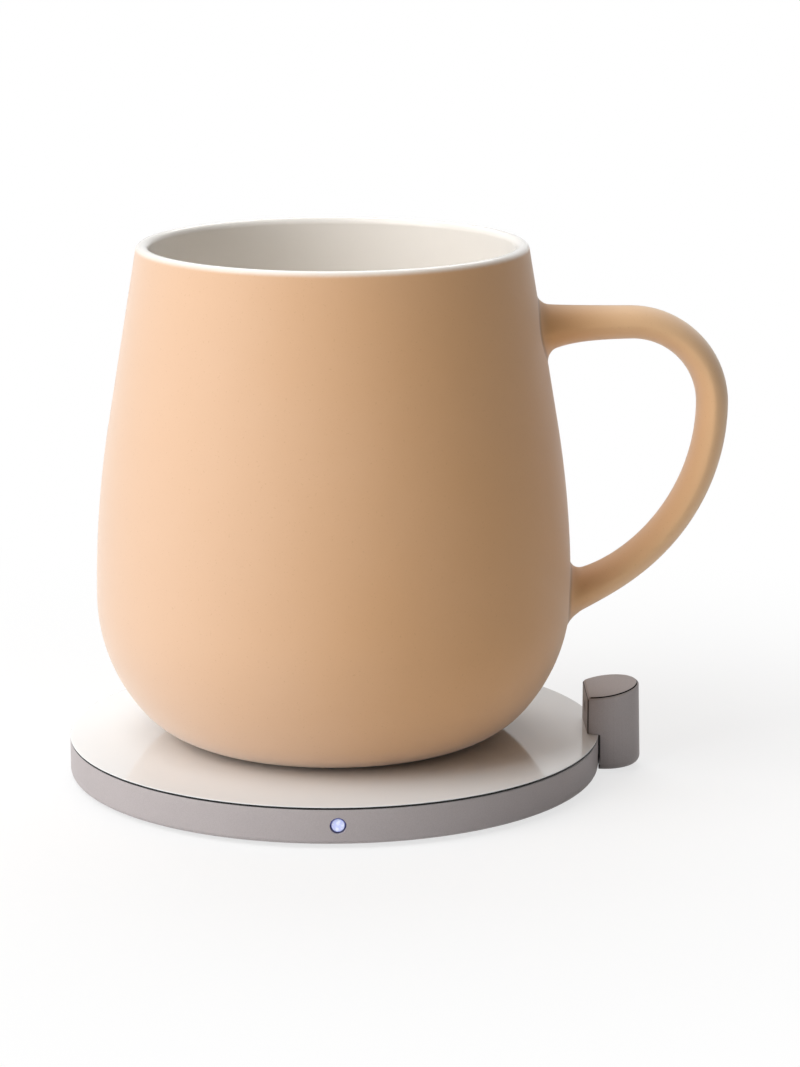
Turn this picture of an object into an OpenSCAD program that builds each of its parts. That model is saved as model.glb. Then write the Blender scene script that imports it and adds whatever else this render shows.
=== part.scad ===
// Self-heating mug standing on its round warming pad, in millimetres.
// The origin lies on the table under the middle of the pad, with Z up.
// The button faces -Y, the power socket +Y and the mug's handle +X.

/* [Pad] */
// Diameter of the pad
pad_d = 101.6; // [94:0.2:130]
// Height of the metal band
band_h = 6.35; // [6:0.05:9]
// Thickness of the band's wall
band_wall = 2.8; // [2.4:0.1:3.4]
// Round on the band's lower outer edge
band_round = 0.9; // [0.4:0.1:1.1]
// Bevel on the band's upper outer edge
band_bevel = 0.25; // [0.1:0.05:0.4]
// Height of the band above the table
foot_gap = 0.8; // [0.6:0.1:2]
// Thickness of the silicone foot
foot_t = 1.0; // [0.8:0.1:2]
// Thickness of the bottom cover
cover_t = 1.4; // [1.2:0.1:2]
// Height of the dark seam between band and plate
seam_h = 0.35; // [0.2:0.05:0.6]
// Depth of the dark seam behind the band's face
seam_depth = 1.2; // [0.6:0.1:1.6]
// Height of the top plate's rim
plate_rim_h = 0.35; // [0.3:0.05:1]
// Thickness of the top plate inside the band
plate_t = 1.6; // [1.4:0.1:2.2]
// Round on the plate's upper edge
plate_round = 0.2; // [0.1:0.05:0.2]

/* [Button] */
// Diameter of the button's stem
button_d = 2.5; // [2:0.1:3]
// Depth of the button's middle under the seam
button_drop = 2.8; // [2.5:0.1:2.9]
// How far the button's face stands out of the band
button_proud = 0.05; // [0:0.05:0.3]

/* [Post] */
// Diameter of the post at its foot
post_d = 14; // [13.4:0.1:17]
// Diameter of the post at its top
post_top_d = 13.3; // [12.8:0.1:15]
// Height of the post on its axis
post_h = 15.05; // [14.5:0.05:20]
// Slope of the post's top
post_slope = 9.2; // [0:0.1:12]
// Direction in which the post's top rises
slope_turn = 19; // [0:0.5:40]
// Distance of the post's axis outside the pad's edge
post_out = 1.2; // [1:0.1:2]
// Angle of the post round the pad
post_angle = 0; // [-6:0.5:6]
// Distance of the flat face from the post's axis
post_face = 3.7; // [3:0.1:4.2]
// Wall of the post
post_wall = 1.2; // [1:0.1:1.5]
// Round on the post's lower edge
post_round = 1.5; // [0.6:0.1:1.8]
// Bevel on the post's upper edges
post_bevel = 0.45; // [0.2:0.05:0.6]
// Height of the window above the plate
window_up = 3.9; // [3.4:0.1:4]
// Diameter of the window
window_d = 2.4; // [1.6:0.1:2.8]

/* [Mug] */
// Height of the mug
mug_h = 95; // [88:1:110]
// Largest radius of the mug
belly_r = 45.15; // [42:0.05:50]
// Thickness of the ceramic wall
wall = 3.8; // [3:0.1:5]
// Thickness of the lip
lip_t = 2.4; // [2:0.1:3]
// Radius of the outline above the belly
upper_r = 198; // [150:1:240]
// Lean of the straight side below the lip
side_lean = 9.6; // [7:0.1:11]
// Radius of the outline below the belly
heel_r = 32.4; // [28:0.1:38]
// Radius of the outline where it turns under
toe_r = 17.5; // [15:0.1:22]
// Angle at which the outline turns to the smaller radius
heel_angle = 40.6; // [34:0.1:45]
// Radius between the inside wall and the floor
floor_round = 6; // [4:0.5:7]
// Thickness of the ceramic floor
floor_t = 4; // [3.5:0.5:6]
// Height of the ceramic above the plate
foot_lift = 0.8; // [0.6:0.1:1.2]
// Radius of the recess in the mug's base
recess_r = 25; // [24:0.25:25.5]

/* [Handle] */
// Reach of the handle's middle line from the mug's axis
handle_reach = 71.7; // [66:0.1:78]
// Height of the handle's level run
handle_top = 79; // [74:0.1:84]
// Radius of the bend at the handle's shoulder
shoulder_r = 15.7; // [13:0.1:19]
// Radius of the lower bow
bow_r = 38.6; // [35:0.1:42]
// Thickness of the handle
handle_t = 6; // [5:0.1:8]
// Width of the handle
handle_w = 11; // [9:0.5:14]
// Growth of the handle's half thickness at its roots
root_flare = 1.8; // [1:0.1:2.4]
// Round where the handle meets the body
root_round = 1.6; // [1:0.1:2.2]

/* [Inside the pad] */
// Height of the transmitter coil
coil_h = 1.0; // [0.8:0.1:1.2]
// Thickness of the pad's ferrite
ferrite_t = 0.6; // [0.4:0.1:0.8]
// Thickness of the coil carrier
carrier_t = 0.6; // [0.5:0.1:0.8]
// Diameter of the bottom cover's screws
cover_screw_d = 2; // [1.6:0.1:2.2]
// Grip of the bottom cover's screws in the band
screw_bite = 2.1; // [1.8:0.1:2.4]
// Diameter of the screws between band and post
link_screw_d = 1.6; // [1.4:0.1:1.8]
// Width of the sensor's ribbon
ribbon_w = 4; // [3:0.5:5]
// Thickness of the sensor's ribbon
ribbon_t = 0.2; // [0.15:0.05:0.3]
// Thickness of the control board
board_t = 0.8; // [0.6:0.1:1]
// Height of the control board above the bottom cover
standoff_h = 0.6; // [0.5:0.1:0.8]
// Turns of the transmitter coil
coil_turns = 9; // [6:1:9]
// Width of the transmitter coil's wire
coil_wire = 1.1; // [0.8:0.1:1.1]
// Distance between the transmitter coil's turns
coil_pitch = 1.6; // [1.5:0.05:1.65]
// Outer height of the power socket
usb_h = 3.16; // [3.1:0.02:3.3]
// Outer width of the power socket
usb_w = 8.94; // [8.8:0.02:9.2]
// Length of the power socket
usb_l = 7.3; // [6.5:0.1:8]

/* [Inside the mug] */
// Thickness of the mug's base cover
mug_base_t = 1.8; // [1.6:0.1:2.4]
// Height of the receiver coil
rx_coil_h = 1.0; // [0.8:0.1:1.4]
// Thickness of the mug's ferrite
rx_ferrite_t = 0.8; // [0.5:0.1:1.2]
// Thickness of the receiver board
rx_board_t = 1.0; // [0.8:0.1:1.4]
// Thickness of the insulation
insulation_t = 1.0; // [0.8:0.1:1.5]
// Thickness of the heater film
film_t = 0.4; // [0.3:0.1:0.8]
// Thickness of the heat spreader
spreader_t = 1.2; // [1:0.1:2]
// Turns of the receiver coil
rx_turns = 8; // [5:1:8]
// Width of the receiver coil's wire
rx_wire = 1.0; // [0.7:0.1:1]
// Distance between the receiver coil's turns
rx_pitch = 1.5; // [1.4:0.05:1.5]
// Ferrite left round the receiver coil
rx_edge = 0.9; // [0.8:0.1:1.2]

/* [Fits] */
// Play between parts that drop into each other
fit = 0.15; // [0.1:0.05:0.25]
// Play round the button's stem in the band
button_fit = 0.25; // [0.2:0.05:0.35]
// Play round a screw or a plunger in its hole
bore_fit = 0.08; // [0.05:0.01:0.12]
// Play of the window in its hole
window_fit = 0.03; // [0.02:0.01:0.05]

/* [Hidden] */
$fn = 96;
pad_r = pad_d / 2;
band_in = pad_r - band_wall;
cover_r = band_in + 1;
z_floor = foot_gap + cover_t;
z_seam = foot_gap + band_h;
z_plate = z_seam + seam_h;
z_top = z_plate + plate_rim_h;
z_under = z_top - plate_t;
z_board = z_floor + standoff_h;
z_board_top = z_board + board_t;
z_ferrite = z_under - coil_h - ferrite_t;
z_carrier = z_ferrite - carrier_t;
foot_r = pad_r - 8;
screw_ring = band_in - 2.2;
screw_angles = [45, 135, 225, 315];
board_r = band_in - 5.7;
board_screw_ring = board_r - 7.5;
carrier_r = 29;
ferrite_r = carrier_r - 1;
coil_r0 = 12.2;
hole_r = coil_r0 + coil_wire / 2 + 0.85;
part_ring = (board_r + carrier_r) / 2;

// Button and switch, along the button's own axis
z_button = z_seam - button_drop;
button_r = button_d / 2;
flange_r = button_r + 0.55;
flange_t = 0.55;
y_flange = -(band_in - 0.25);
y_press = y_flange + flange_t;
y_switch = y_press + 1.8;
plunger_r = 0.55;
tab_y = y_switch - 0.4;

// Power socket
z_usb = z_floor + 0.1 + usb_h / 2;
y_usb = pad_r - 0.6;
usb_skin = 0.3;

// Post
post_r = post_d / 2;
post_top_r = post_top_d / 2;
post_draft = (post_r - post_top_r) / (post_h - post_round);
post_x = (pad_r + post_out) * cos(post_angle);
post_y = (pad_r + post_out) * sin(post_angle);
face_x = post_x - post_face;
z_post = foot_gap + post_h;
z_window = z_top + window_up;
hug_r = pad_r + 0.1;
room_r = post_top_r - post_wall;
z_roof = z_post - post_top_r * tan(post_slope) - post_wall;
room_x = (hug_r + post_wall) * cos(post_angle);
sensor_x = post_x + 0.4 * post_r;
sensor_w = 0.96 * post_r;
z_link = (z_floor + z_under) / 2;
link_angle = 4.8;
slot_w = ribbon_w + 1.2;
slot_h = ribbon_t + 0.8;

// Mug, with heights above the plate
rx_top = foot_lift + mug_base_t;
z_rx_ferrite = rx_top + rx_coil_h;
z_rx_board = z_rx_ferrite + rx_ferrite_t;
z_insulation = z_rx_board + rx_board_t;
z_film = z_insulation + insulation_t;
z_spreader = z_film + film_t;
recess_top = z_spreader + spreader_t;
z_inside = recess_top + floor_t;
rx_ferrite_r = recess_r - 2.1;
rx_r0 = rx_ferrite_r - rx_edge - rx_turns * rx_pitch;
well_r = rx_r0 + rx_wire / 2 + 0.7;
belly_z = heel_r * sin(heel_angle) + toe_r * (1 - sin(heel_angle));
heel_x = belly_r - heel_r;
toe_x = heel_x + (heel_r - toe_r) * cos(heel_angle);
lip_r = lip_t / 2;
lip_z = mug_h - lip_r;
join_r = belly_r - upper_r * (1 - cos(side_lean));
join_z = belly_z + upper_r * sin(side_lean);
lip_x = join_r - (lip_z + lip_r * sin(side_lean) - join_z) * tan(side_lean) - lip_r * cos(side_lean);
lip_taper = atan((wall - lip_t) * cos(side_lean) / (lip_z - join_z));

// Points of an arc round c from angle a to angle b
function arc(c, r, a, b, n) = [for (i = [0 : n]) let (t = a + (b - a) * i / n) c + r * [cos(t), sin(t)]];

// Side of the mug, in by d from its outer face, from angle a below the belly up to the lip
function side(d, a) = concat(
    arc([heel_x, belly_z], heel_r - d, a, 0, 10),
    arc([belly_r - upper_r, belly_z], upper_r - d, 0, side_lean, 8));

// The same points without repeats, and in the other order
function single(p) = [for (i = [0 : len(p) - 1]) if (i == 0 || norm(p[i] - p[i - 1]) > 0.001) p[i]];
function reverse(p) = [for (i = [len(p) - 1 : -1 : 0]) p[i]];

// A flat winding of half rings on two centres, so that each turn runs on into the next
module winding(r0, turns, pitch, wire, h) {
    for (k = [0 : 2 * turns - 1])
        translate([(k % 2) * pitch / 2, 0, 0])
            rotate([0, 0, (k % 2) * 180])
                rotate_extrude(angle = 180)
                    translate([r0 + k * pitch / 2 - wire / 2, 0]) square([wire, h]);
}

// Distance left between neighbouring turns, measured along the X axis
function turn_gap(r0, turns, pitch, wire) = min([for (k = [0 : 2 * turns - 3])
    let (c = (k % 2) * pitch / 2) (c + r0 + (k + 2) * pitch / 2) - (c + r0 + k * pitch / 2) - wire]);

// A bar of stadium section along Y
module stadium(w, h, l) {
    for (s = [-1, 1]) translate([s * (w - h) / 2, 0, 0]) rotate([-90, 0, 0]) cylinder(r = h / 2, h = l);
    translate([-(w - h) / 2, 0, -h / 2]) cube([w - h, l, h]);
}

module at_ring(r, angles) {
    for (a = angles) rotate([0, 0, a]) translate([r, 0, 0]) children();
}

module band_profile() {
    polygon(concat([[band_in, z_floor], [cover_r, z_floor], [cover_r, foot_gap]],
        arc([pad_r - band_round, foot_gap + band_round], band_round, -90, 0, 8),
        [[pad_r, z_seam - band_bevel], [pad_r - band_bevel, z_seam], [band_in, z_seam]]));
}

module pad_housing() color([0.62, 0.58, 0.56]) difference() {
    union() {
        rotate_extrude() band_profile();
        at_ring(screw_ring, screw_angles) translate([0, 0, z_floor])
            cylinder(r = 1.2 * cover_screw_d, h = screw_bite + 1.1);
    }
    at_ring(screw_ring, screw_angles) translate([0, 0, z_floor - 1])
        cylinder(r = cover_screw_d / 2 + bore_fit, h = screw_bite + 1.5);
    translate([0, -pad_r - 1, z_button]) rotate([-90, 0, 0]) cylinder(r = button_r + button_fit, h = 5);
    translate([0, y_usb - usb_l, z_usb]) stadium(usb_w + 2 * fit, usb_h + 2 * fit, usb_l + 2);
    rotate([0, 0, post_angle]) translate([band_in - 2, -slot_w / 2, z_link - slot_h / 2])
        cube([band_wall + 4, slot_w, slot_h]);
    for (a = [-1, 1]) rotate([0, 0, post_angle + a * link_angle])
        translate([band_in - 1, 0, z_link]) rotate([0, 90, 0])
            cylinder(r = link_screw_d / 2 + bore_fit, h = band_wall + 2);
}

module bottom_cover() color([0.2, 0.2, 0.21]) difference() {
    union() {
        translate([0, 0, foot_gap]) cylinder(r = cover_r - fit, h = cover_t);
        at_ring(board_screw_ring, [0, 90, 180, 270]) translate([0, 0, z_floor - 0.2])
            cylinder(r = 2.2, h = standoff_h + 0.2);
    }
    translate([0, 0, foot_gap - 1]) cylinder(r = foot_r + fit, h = 1 + foot_t - foot_gap);
    at_ring(screw_ring, screw_angles) translate([0, 0, foot_gap - 1])
        cylinder(r = cover_screw_d / 2 + bore_fit, h = cover_t + 2);
    at_ring(screw_ring, screw_angles) translate([0, 0, foot_gap - 0.01])
        cylinder(r1 = cover_screw_d + bore_fit, r2 = cover_screw_d / 2 + bore_fit, h = cover_screw_d / 2);
    at_ring(board_screw_ring, [0, 90, 180, 270]) translate([0, 0, z_board - 1.2])
        cylinder(r = 0.6 + bore_fit, h = 2);
}

module foot_pad() color([0.13, 0.13, 0.14]) cylinder(r = foot_r, h = foot_t);

module seam_gasket() color([0.05, 0.05, 0.05]) translate([0, 0, z_seam]) difference() {
    cylinder(r = pad_r - seam_depth, h = seam_h);
    translate([0, 0, -1]) cylinder(r = band_in, h = seam_h + 2);
}

module top_plate() color([0.94, 0.93, 0.92]) rotate_extrude() polygon(concat(
    [[0, z_under], [band_in - 2 * fit, z_under], [band_in - 2 * fit, z_plate], [pad_r - 0.1, z_plate],
        [pad_r, z_plate + 0.1]],
    arc([pad_r - plate_round, z_top - plate_round], plate_round, 0, 90, 6), [[0, z_top]]));

module coil_carrier() color([0.3, 0.31, 0.33]) difference() {
    union() {
        translate([0, 0, z_carrier]) cylinder(r = carrier_r, h = carrier_t);
        at_ring(carrier_r - 2, screw_angles) translate([0, 0, z_board_top])
            cylinder(r = 1.5, h = z_carrier - z_board_top + 0.1);
    }
    translate([0, 0, z_carrier - 1]) cylinder(r = hole_r, h = carrier_t + 2);
}

module pad_ferrite() color([0.17, 0.17, 0.18]) translate([0, 0, z_ferrite]) difference() {
    cylinder(r = ferrite_r, h = ferrite_t);
    translate([0, 0, -1]) cylinder(r = hole_r, h = ferrite_t + 2);
}

module pad_coil() color([0.72, 0.42, 0.2]) {
    outer_x = coil_r0 + coil_turns * coil_pitch - coil_wire / 2;
    run = sqrt(pow(carrier_r + 0.6, 2) - pow(outer_x, 2)) + 0.2;
    translate([0, 0, z_under - coil_h]) winding(coil_r0, coil_turns, coil_pitch, coil_wire, coil_h);
    translate([outer_x, 0, z_under - coil_h]) cube([coil_wire, run + coil_wire, coil_h]);
    translate([outer_x, run, z_board_top]) cube([coil_wire, coil_wire, z_under - z_board_top]);
    translate([coil_r0 - coil_wire / 2, -coil_wire, z_board_top])
        cube([coil_wire, coil_wire, z_under - z_board_top]);
}

module control_board() color([0.1, 0.33, 0.2]) translate([0, 0, z_board]) difference() {
    union() {
        cylinder(r = board_r, h = board_t);
        translate([-6, tab_y, 0]) cube([12, 10, board_t]);
        translate([-8, board_r - 8, 0]) cube([16, y_usb - 3.4 - board_r + 8, board_t]);
    }
    translate([-usb_w / 2 - fit, y_usb - usb_l - fit, -1]) cube([usb_w + 2 * fit, usb_l + 2, board_t + 2]);
    at_ring(board_screw_ring, [0, 90, 180, 270]) translate([0, 0, -1])
        cylinder(r = 0.6 + bore_fit, h = board_t + 2);
}

module driver_chip() color([0.07, 0.07, 0.08]) at_ring(part_ring, [200])
    translate([-3, -3, z_board_top]) cube([6, 6, 0.9]);

module resonant_capacitors() color([0.62, 0.5, 0.36]) at_ring(part_ring, [140, 149, 158])
    translate([-1.6, -1.25, z_board_top]) cube([3.2, 2.5, 1.5]);

module power_inductor() color([0.22, 0.22, 0.23]) at_ring(part_ring, [235])
    translate([-3, -3, z_board_top]) cube([6, 6, 1.9]);

module plate_thermistor() color([0.85, 0.85, 0.82]) translate([0, 0, z_board_top])
    cylinder(r = 2, h = z_under - z_board_top);

module usb_socket() color([0.7, 0.7, 0.71]) {
    translate([0, y_usb - usb_l, z_usb]) difference() {
        stadium(usb_w, usb_h, usb_l);
        translate([0, 1, 0]) stadium(usb_w - 2 * usb_skin, usb_h - 2 * usb_skin, usb_l);
    }
    for (s = [-1, 1]) translate([s * (usb_w / 2 + 0.55) - 0.75, y_usb - usb_l + 1, z_board_top])
        cube([1.5, 1.6, 0.3]);
}

module usb_tongue() color([0.08, 0.08, 0.08])
    translate([-3.35, y_usb - usb_l + 1, z_usb - 0.35]) cube([6.7, 4.6, 0.7]);

module switch_body() color([0.1, 0.1, 0.1]) difference() {
    translate([-2.1, y_switch, z_board_top]) cube([4.2, 3, z_button + plunger_r + 0.35 - z_board_top]);
    translate([0, y_switch - 1, z_button]) rotate([-90, 0, 0]) cylinder(r = plunger_r + bore_fit, h = 3);
}

module status_led() color([0.85, 0.9, 1]) translate([3.2, y_switch, z_board_top]) cube([1.6, 0.8, 0.6]);

module ribbon_connector() color([0.88, 0.86, 0.8]) rotate([0, 0, post_angle])
    translate([board_r - 5, -slot_w / 2, z_board_top]) cube([4, slot_w, z_link + slot_h / 2 - z_board_top]);

module cover_screws() color([0.45, 0.45, 0.46]) at_ring(screw_ring, screw_angles) {
    d = cover_screw_d;
    translate([0, 0, foot_gap]) cylinder(r1 = 0.95 * d, r2 = 0.45 * d, h = d / 2);
    translate([0, 0, foot_gap + d / 4]) cylinder(r = d / 2, h = cover_t + screw_bite - d / 4);
}

module board_screws() color([0.45, 0.45, 0.46]) at_ring(board_screw_ring, [0, 90, 180, 270]) {
    translate([0, 0, z_board_top]) cylinder(r = 1.4, h = 0.6);
    translate([0, 0, z_board - 1]) cylinder(r = 0.6, h = board_t + 1.2);
}

module button_cap() color([0.8, 0.87, 1]) intersection() {
    union() {
        translate([0, -pad_r - 1, z_button]) rotate([-90, 0, 0])
            cylinder(r = button_r, h = pad_r + 1 + y_press);
        translate([0, y_flange, z_button]) rotate([-90, 0, 0]) cylinder(r = flange_r, h = flange_t);
    }
    translate([0, 10 - pad_r - button_proud, z_button]) sphere(r = 10);
}

module switch_plunger() color([0.9, 0.9, 0.88]) translate([0, y_press, z_button]) rotate([-90, 0, 0])
    cylinder(r = plunger_r, h = y_switch - y_press + 0.8);

// The full round of the post, with its rounded foot, its draft and its sloping top with a bevelled edge
module post_body() {
    cap_h = post_d + post_h;
    intersection() {
        translate([post_x, post_y, 0]) rotate_extrude() polygon(concat([[0, foot_gap]],
            arc([post_r - post_round, foot_gap + post_round], post_round, -90, 0, 8),
            [[post_top_r - 3 * post_draft, z_post + 3], [0, z_post + 3]]));
        translate([post_x, post_y, z_post]) rotate([0, 0, slope_turn]) rotate([0, -post_slope, 0])
            translate([0, 0, -cap_h])
                cylinder(r1 = post_top_r - post_bevel + cap_h, r2 = post_top_r - post_bevel, h = cap_h);
    }
}

// Plan of the room inside the post, kept clear of the band
module post_room(d, z0, h) {
    difference() {
        translate([post_x, post_y, z0]) cylinder(r = room_r - d, h = h);
        translate([0, 0, z0 - 1]) cylinder(r = hug_r + post_wall + d, h = h + 2);
    }
}

module post_shell() color([0.6, 0.56, 0.55]) difference() {
    union() {
        difference() {
            post_body();
            translate([0, 0, -1]) cylinder(r = hug_r, h = z_top + 1.05);
            translate([face_x - post_d, post_y - post_r - 1, z_top + 0.05])
                cube([post_d, post_d + 2, post_h]);
            post_room(0, foot_gap - 1, z_roof - foot_gap + 1);
        }
        intersection() {
            for (a = [-1, 1]) rotate([0, 0, post_angle + a * link_angle])
                translate([hug_r + 0.2, 0, z_link]) rotate([0, 90, 0])
                    cylinder(r = 1.25 * link_screw_d, h = post_wall + 1.5 * link_screw_d);
            translate([post_x, post_y, 0]) cylinder(r = room_r + 0.4, h = z_post);
        }
    }
    for (a = [-1, 1]) rotate([0, 0, post_angle + a * link_angle])
        translate([band_in, 0, z_link]) rotate([0, 90, 0])
            cylinder(r = link_screw_d / 2 + bore_fit, h = band_wall + post_wall + 2 * link_screw_d);
    rotate([0, 0, post_angle]) translate([pad_r - 1, -slot_w / 2, z_link - slot_h / 2])
        cube([post_wall + 2.8, slot_w, slot_h]);
    translate([face_x - 1, post_y, z_window]) rotate([0, 90, 0])
        cylinder(r = window_d / 2 + window_fit, h = room_x - face_x + 2);
}

module post_base() color([0.2, 0.2, 0.21]) post_room(fit, foot_gap + 0.1, 1.1);

module sensor_board() color([0.1, 0.33, 0.2])
    translate([sensor_x, post_y - sensor_w / 2, foot_gap + 1.2])
        cube([0.8, sensor_w, z_roof - foot_gap - 1.5]);

module presence_sensor() color([0.55, 0.55, 0.57]) translate([room_x + 1, post_y, z_window])
    rotate([0, 90, 0]) cylinder(r = 1.7, h = sensor_x - room_x - 1);

module sensor_window() color([0.04, 0.03, 0.04]) translate([face_x + 0.1, post_y, z_window])
    rotate([0, 90, 0]) cylinder(r = window_d / 2, h = room_x + 0.9 - face_x);

module sensor_ribbon() color([0.75, 0.45, 0.12]) {
    rotate([0, 0, post_angle]) translate([board_r - 1, -ribbon_w / 2, z_link - ribbon_t / 2])
        cube([hug_r + post_wall + 1.4 - board_r, ribbon_w, ribbon_t]);
    intersection() {
        rotate([0, 0, post_angle]) translate([hug_r + post_wall, -ribbon_w / 2, z_link - ribbon_t / 2])
            cube([post_d, ribbon_w, ribbon_t]);
        translate([0, post_y - post_r, 0]) cube([sensor_x, post_d, z_post]);
    }
}

module post_screws() color([0.45, 0.45, 0.46])
    for (a = [-1, 1]) rotate([0, 0, post_angle + a * link_angle]) translate([0, 0, z_link])
        rotate([0, 90, 0]) {
            translate([0, 0, band_in - 0.95]) cylinder(r = link_screw_d - 0.1, h = 0.9);
            translate([0, 0, band_in - 0.1])
                cylinder(r = link_screw_d / 2, h = band_wall + 1.75 * link_screw_d);
        }

// Outer side of the mug, from the edge of its base up to the lip
function mug_outside() = single(concat(
    arc([toe_x, toe_r], toe_r, -asin(1 - foot_lift / toe_r), -heel_angle, 10), side(0, -heel_angle)));

// Inner side of the mug, from the middle of its floor up to the lip
function mug_inside() = let (
    z = z_inside + floor_round,
    x = heel_x + sqrt(pow(heel_r - wall - floor_round, 2) - pow(z - belly_z, 2)),
    a = atan2(z - belly_z, x - heel_x))
    single(concat([[0, z_inside]], arc([x, z], floor_round, -90, a, 8), side(wall, a)));

module mug_shell() color([0.87, 0.7, 0.55]) translate([0, 0, z_top]) difference() {
    rotate_extrude() polygon(concat([[0, foot_lift]], mug_outside(),
        arc([lip_x, lip_z], lip_r, side_lean, 180 + side_lean - lip_taper, 14), reverse(mug_inside())));
    translate([0, 0, foot_lift - 1]) cylinder(r = recess_r, h = recess_top - foot_lift + 1);
}

// Outer radius of the mug at the height of the handle's middle line
function body_r(z) = z > join_z ? join_r - (z - join_z) * tan(side_lean)
    : z > belly_z ? belly_r - upper_r + sqrt(upper_r * upper_r - pow(z - belly_z, 2))
    : heel_x + sqrt(heel_r * heel_r - pow(z - belly_z, 2));

// The handle's middle line: a level run, the shoulder and the lower bow, each point with its heading
shoulder_x = handle_reach - shoulder_r;
bow_x = handle_reach - bow_r;
bow_z = handle_top - shoulder_r;
function handle_line() = concat(
    [for (i = [0 : 19]) let (x = body_r(handle_top) - 3 + (shoulder_x - body_r(handle_top) + 3) * i / 20)
        [x, handle_top, 0]],
    [for (i = [0 : 11]) let (t = 90 - 90 * i / 12)
        [shoulder_x + shoulder_r * cos(t), bow_z + shoulder_r * sin(t), t - 90]],
    [for (i = [0 : 40]) let (t = -86 * i / 40)
        [bow_x + bow_r * cos(t), bow_z + bow_r * sin(t), t - 90]]);

// Growth towards a root, d from the body: a long flare, and the round at its foot
function flare(d) = root_flare * exp(-max(d, 0) / 5);
function foot_round(d) = d >= root_round ? 0
    : root_round - sqrt(pow(root_round, 2) - pow(root_round - max(d, 0), 2));

// One almond section of the handle, with a soft ridge on each side; the upper root grows downwards
function almond(p) = let (
    g = flare(p[0] - body_r(p[1])),
    a = handle_t / 2 + g,
    b = handle_w / 2 + 0.6 * g,
    lean = (p[2] > -45 ? -0.8 : 0.3) * g)
    [for (k = [0 : 19]) let (
        t = 360 * k / 20,
        n = a * sign(sin(t)) * pow(abs(sin(t)), 1.4),
        y = b * cos(t),
        q = [p[0] - (n + lean) * sin(p[2]), y, p[1] + (n + lean) * cos(p[2])],
        e = 1 + foot_round(norm([q[0], q[1]]) - body_r(q[2])) / norm([n, y]))
        [p[0] - (e * n + lean) * sin(p[2]), e * y, p[1] + (e * n + lean) * cos(p[2])]];

module handle() color([0.86, 0.69, 0.54]) translate([0, 0, z_top]) difference() {
    line = [for (p = handle_line()) if (p[0] > body_r(p[1]) - 3.2) p];
    n = len(line);
    polyhedron(
        points = [for (p = line) each almond(p)],
        faces = concat(
            [[for (k = [0 : 19]) k]],
            [for (i = [0 : 20 : 20 * (n - 2)], k = [0 : 19]) let (m = (k + 1) % 20)
                each [[i + k, i + 20 + k, i + m], [i + m, i + 20 + k, i + 20 + m]]],
            [[for (k = [19 : -1 : 0]) (n - 1) * 20 + k]]));
    rotate_extrude() polygon(concat([[0, foot_lift]], mug_outside(),
        [[lip_x, lip_z] + lip_r * [cos(side_lean), sin(side_lean)], [0, lip_z]]));
}

module mug_disc(r, z, h, hole) translate([0, 0, z_top + z]) difference() {
    cylinder(r = r, h = h);
    if (hole > 0) translate([0, 0, -1]) cylinder(r = hole, h = h + 2);
}

module heat_spreader() color([0.78, 0.79, 0.8]) mug_disc(recess_r - 0.5, z_spreader, spreader_t, 0);

module heater_film() color([0.75, 0.4, 0.1]) mug_disc(recess_r - 2, z_film, film_t, 2);

module insulation_pad() color([0.9, 0.9, 0.86]) mug_disc(recess_r - 0.5, z_insulation, insulation_t, 2);

module receiver_board() color([0.1, 0.33, 0.2]) mug_disc(recess_r - 0.8, z_rx_board, rx_board_t, 0);

module receiver_chips() color([0.07, 0.07, 0.08]) translate([0, 0, z_top + z_rx_board - 1]) {
    translate([-5, 0.5, 0]) cube([4, 4, 1]);
    translate([1, 1, 0]) cube([3, 3, 1]);
}

module thermal_fuse() color([0.6, 0.6, 0.6]) translate([-2.5, -4.5, z_top + z_rx_board - 0.62])
    rotate([0, 90, 0]) cylinder(r = 0.6, h = 5);

module mug_thermistor() color([0.85, 0.85, 0.82])
    mug_disc(1.4, z_insulation, insulation_t + film_t, 0);

module receiver_ferrite() color([0.17, 0.17, 0.18])
    mug_disc(rx_ferrite_r, z_rx_ferrite, rx_ferrite_t, well_r);

module receiver_coil() color([0.72, 0.42, 0.2]) translate([0, 0, z_top + rx_top]) {
    outer_x = rx_r0 + rx_turns * rx_pitch - rx_wire / 2;
    run = sqrt(pow(rx_ferrite_r + 0.15, 2) - pow(outer_x, 2)) + 0.1;
    winding(rx_r0, rx_turns, rx_pitch, rx_wire, rx_coil_h);
    translate([outer_x, 0, 0]) cube([rx_wire, run + rx_wire, rx_coil_h]);
    translate([outer_x, run, 0]) cube([rx_wire, rx_wire, rx_coil_h + rx_ferrite_t]);
    translate([rx_r0 - rx_wire / 2, -rx_wire, 0]) cube([rx_wire, rx_wire, rx_coil_h + rx_ferrite_t]);
}

module mug_base() color([0.86, 0.85, 0.83]) translate([0, 0, z_top + foot_lift]) difference() {
    cylinder(r = recess_r - fit, h = mug_base_t);
    translate([0, 0, mug_base_t / 2 - 0.45]) difference() {
        cylinder(r = recess_r + 1, h = 0.9);
        translate([0, 0, -1]) cylinder(r = recess_r - fit - 1, h = 3);
    }
    translate([0, 0, -1]) difference() {
        cylinder(r = recess_r - 1.2 + fit, h = 1.3);
        translate([0, 0, -1]) cylinder(r = recess_r - 6.2 - fit, h = 4);
    }
}

module base_seal() color([0.1, 0.1, 0.1])
    mug_disc(recess_r, foot_lift + mug_base_t / 2 - 0.4, 0.8, recess_r - fit - 0.95);

module mug_foot() color([0.13, 0.13, 0.14]) mug_disc(recess_r - 1.2, 0, foot_lift + 0.3, recess_r - 6.2);

echo(str("least gap between the turns: pad coil ", turn_gap(coil_r0, coil_turns, coil_pitch, coil_wire),
    " mm, receiver coil ", turn_gap(rx_r0, rx_turns, rx_pitch, rx_wire), " mm"));

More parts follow.
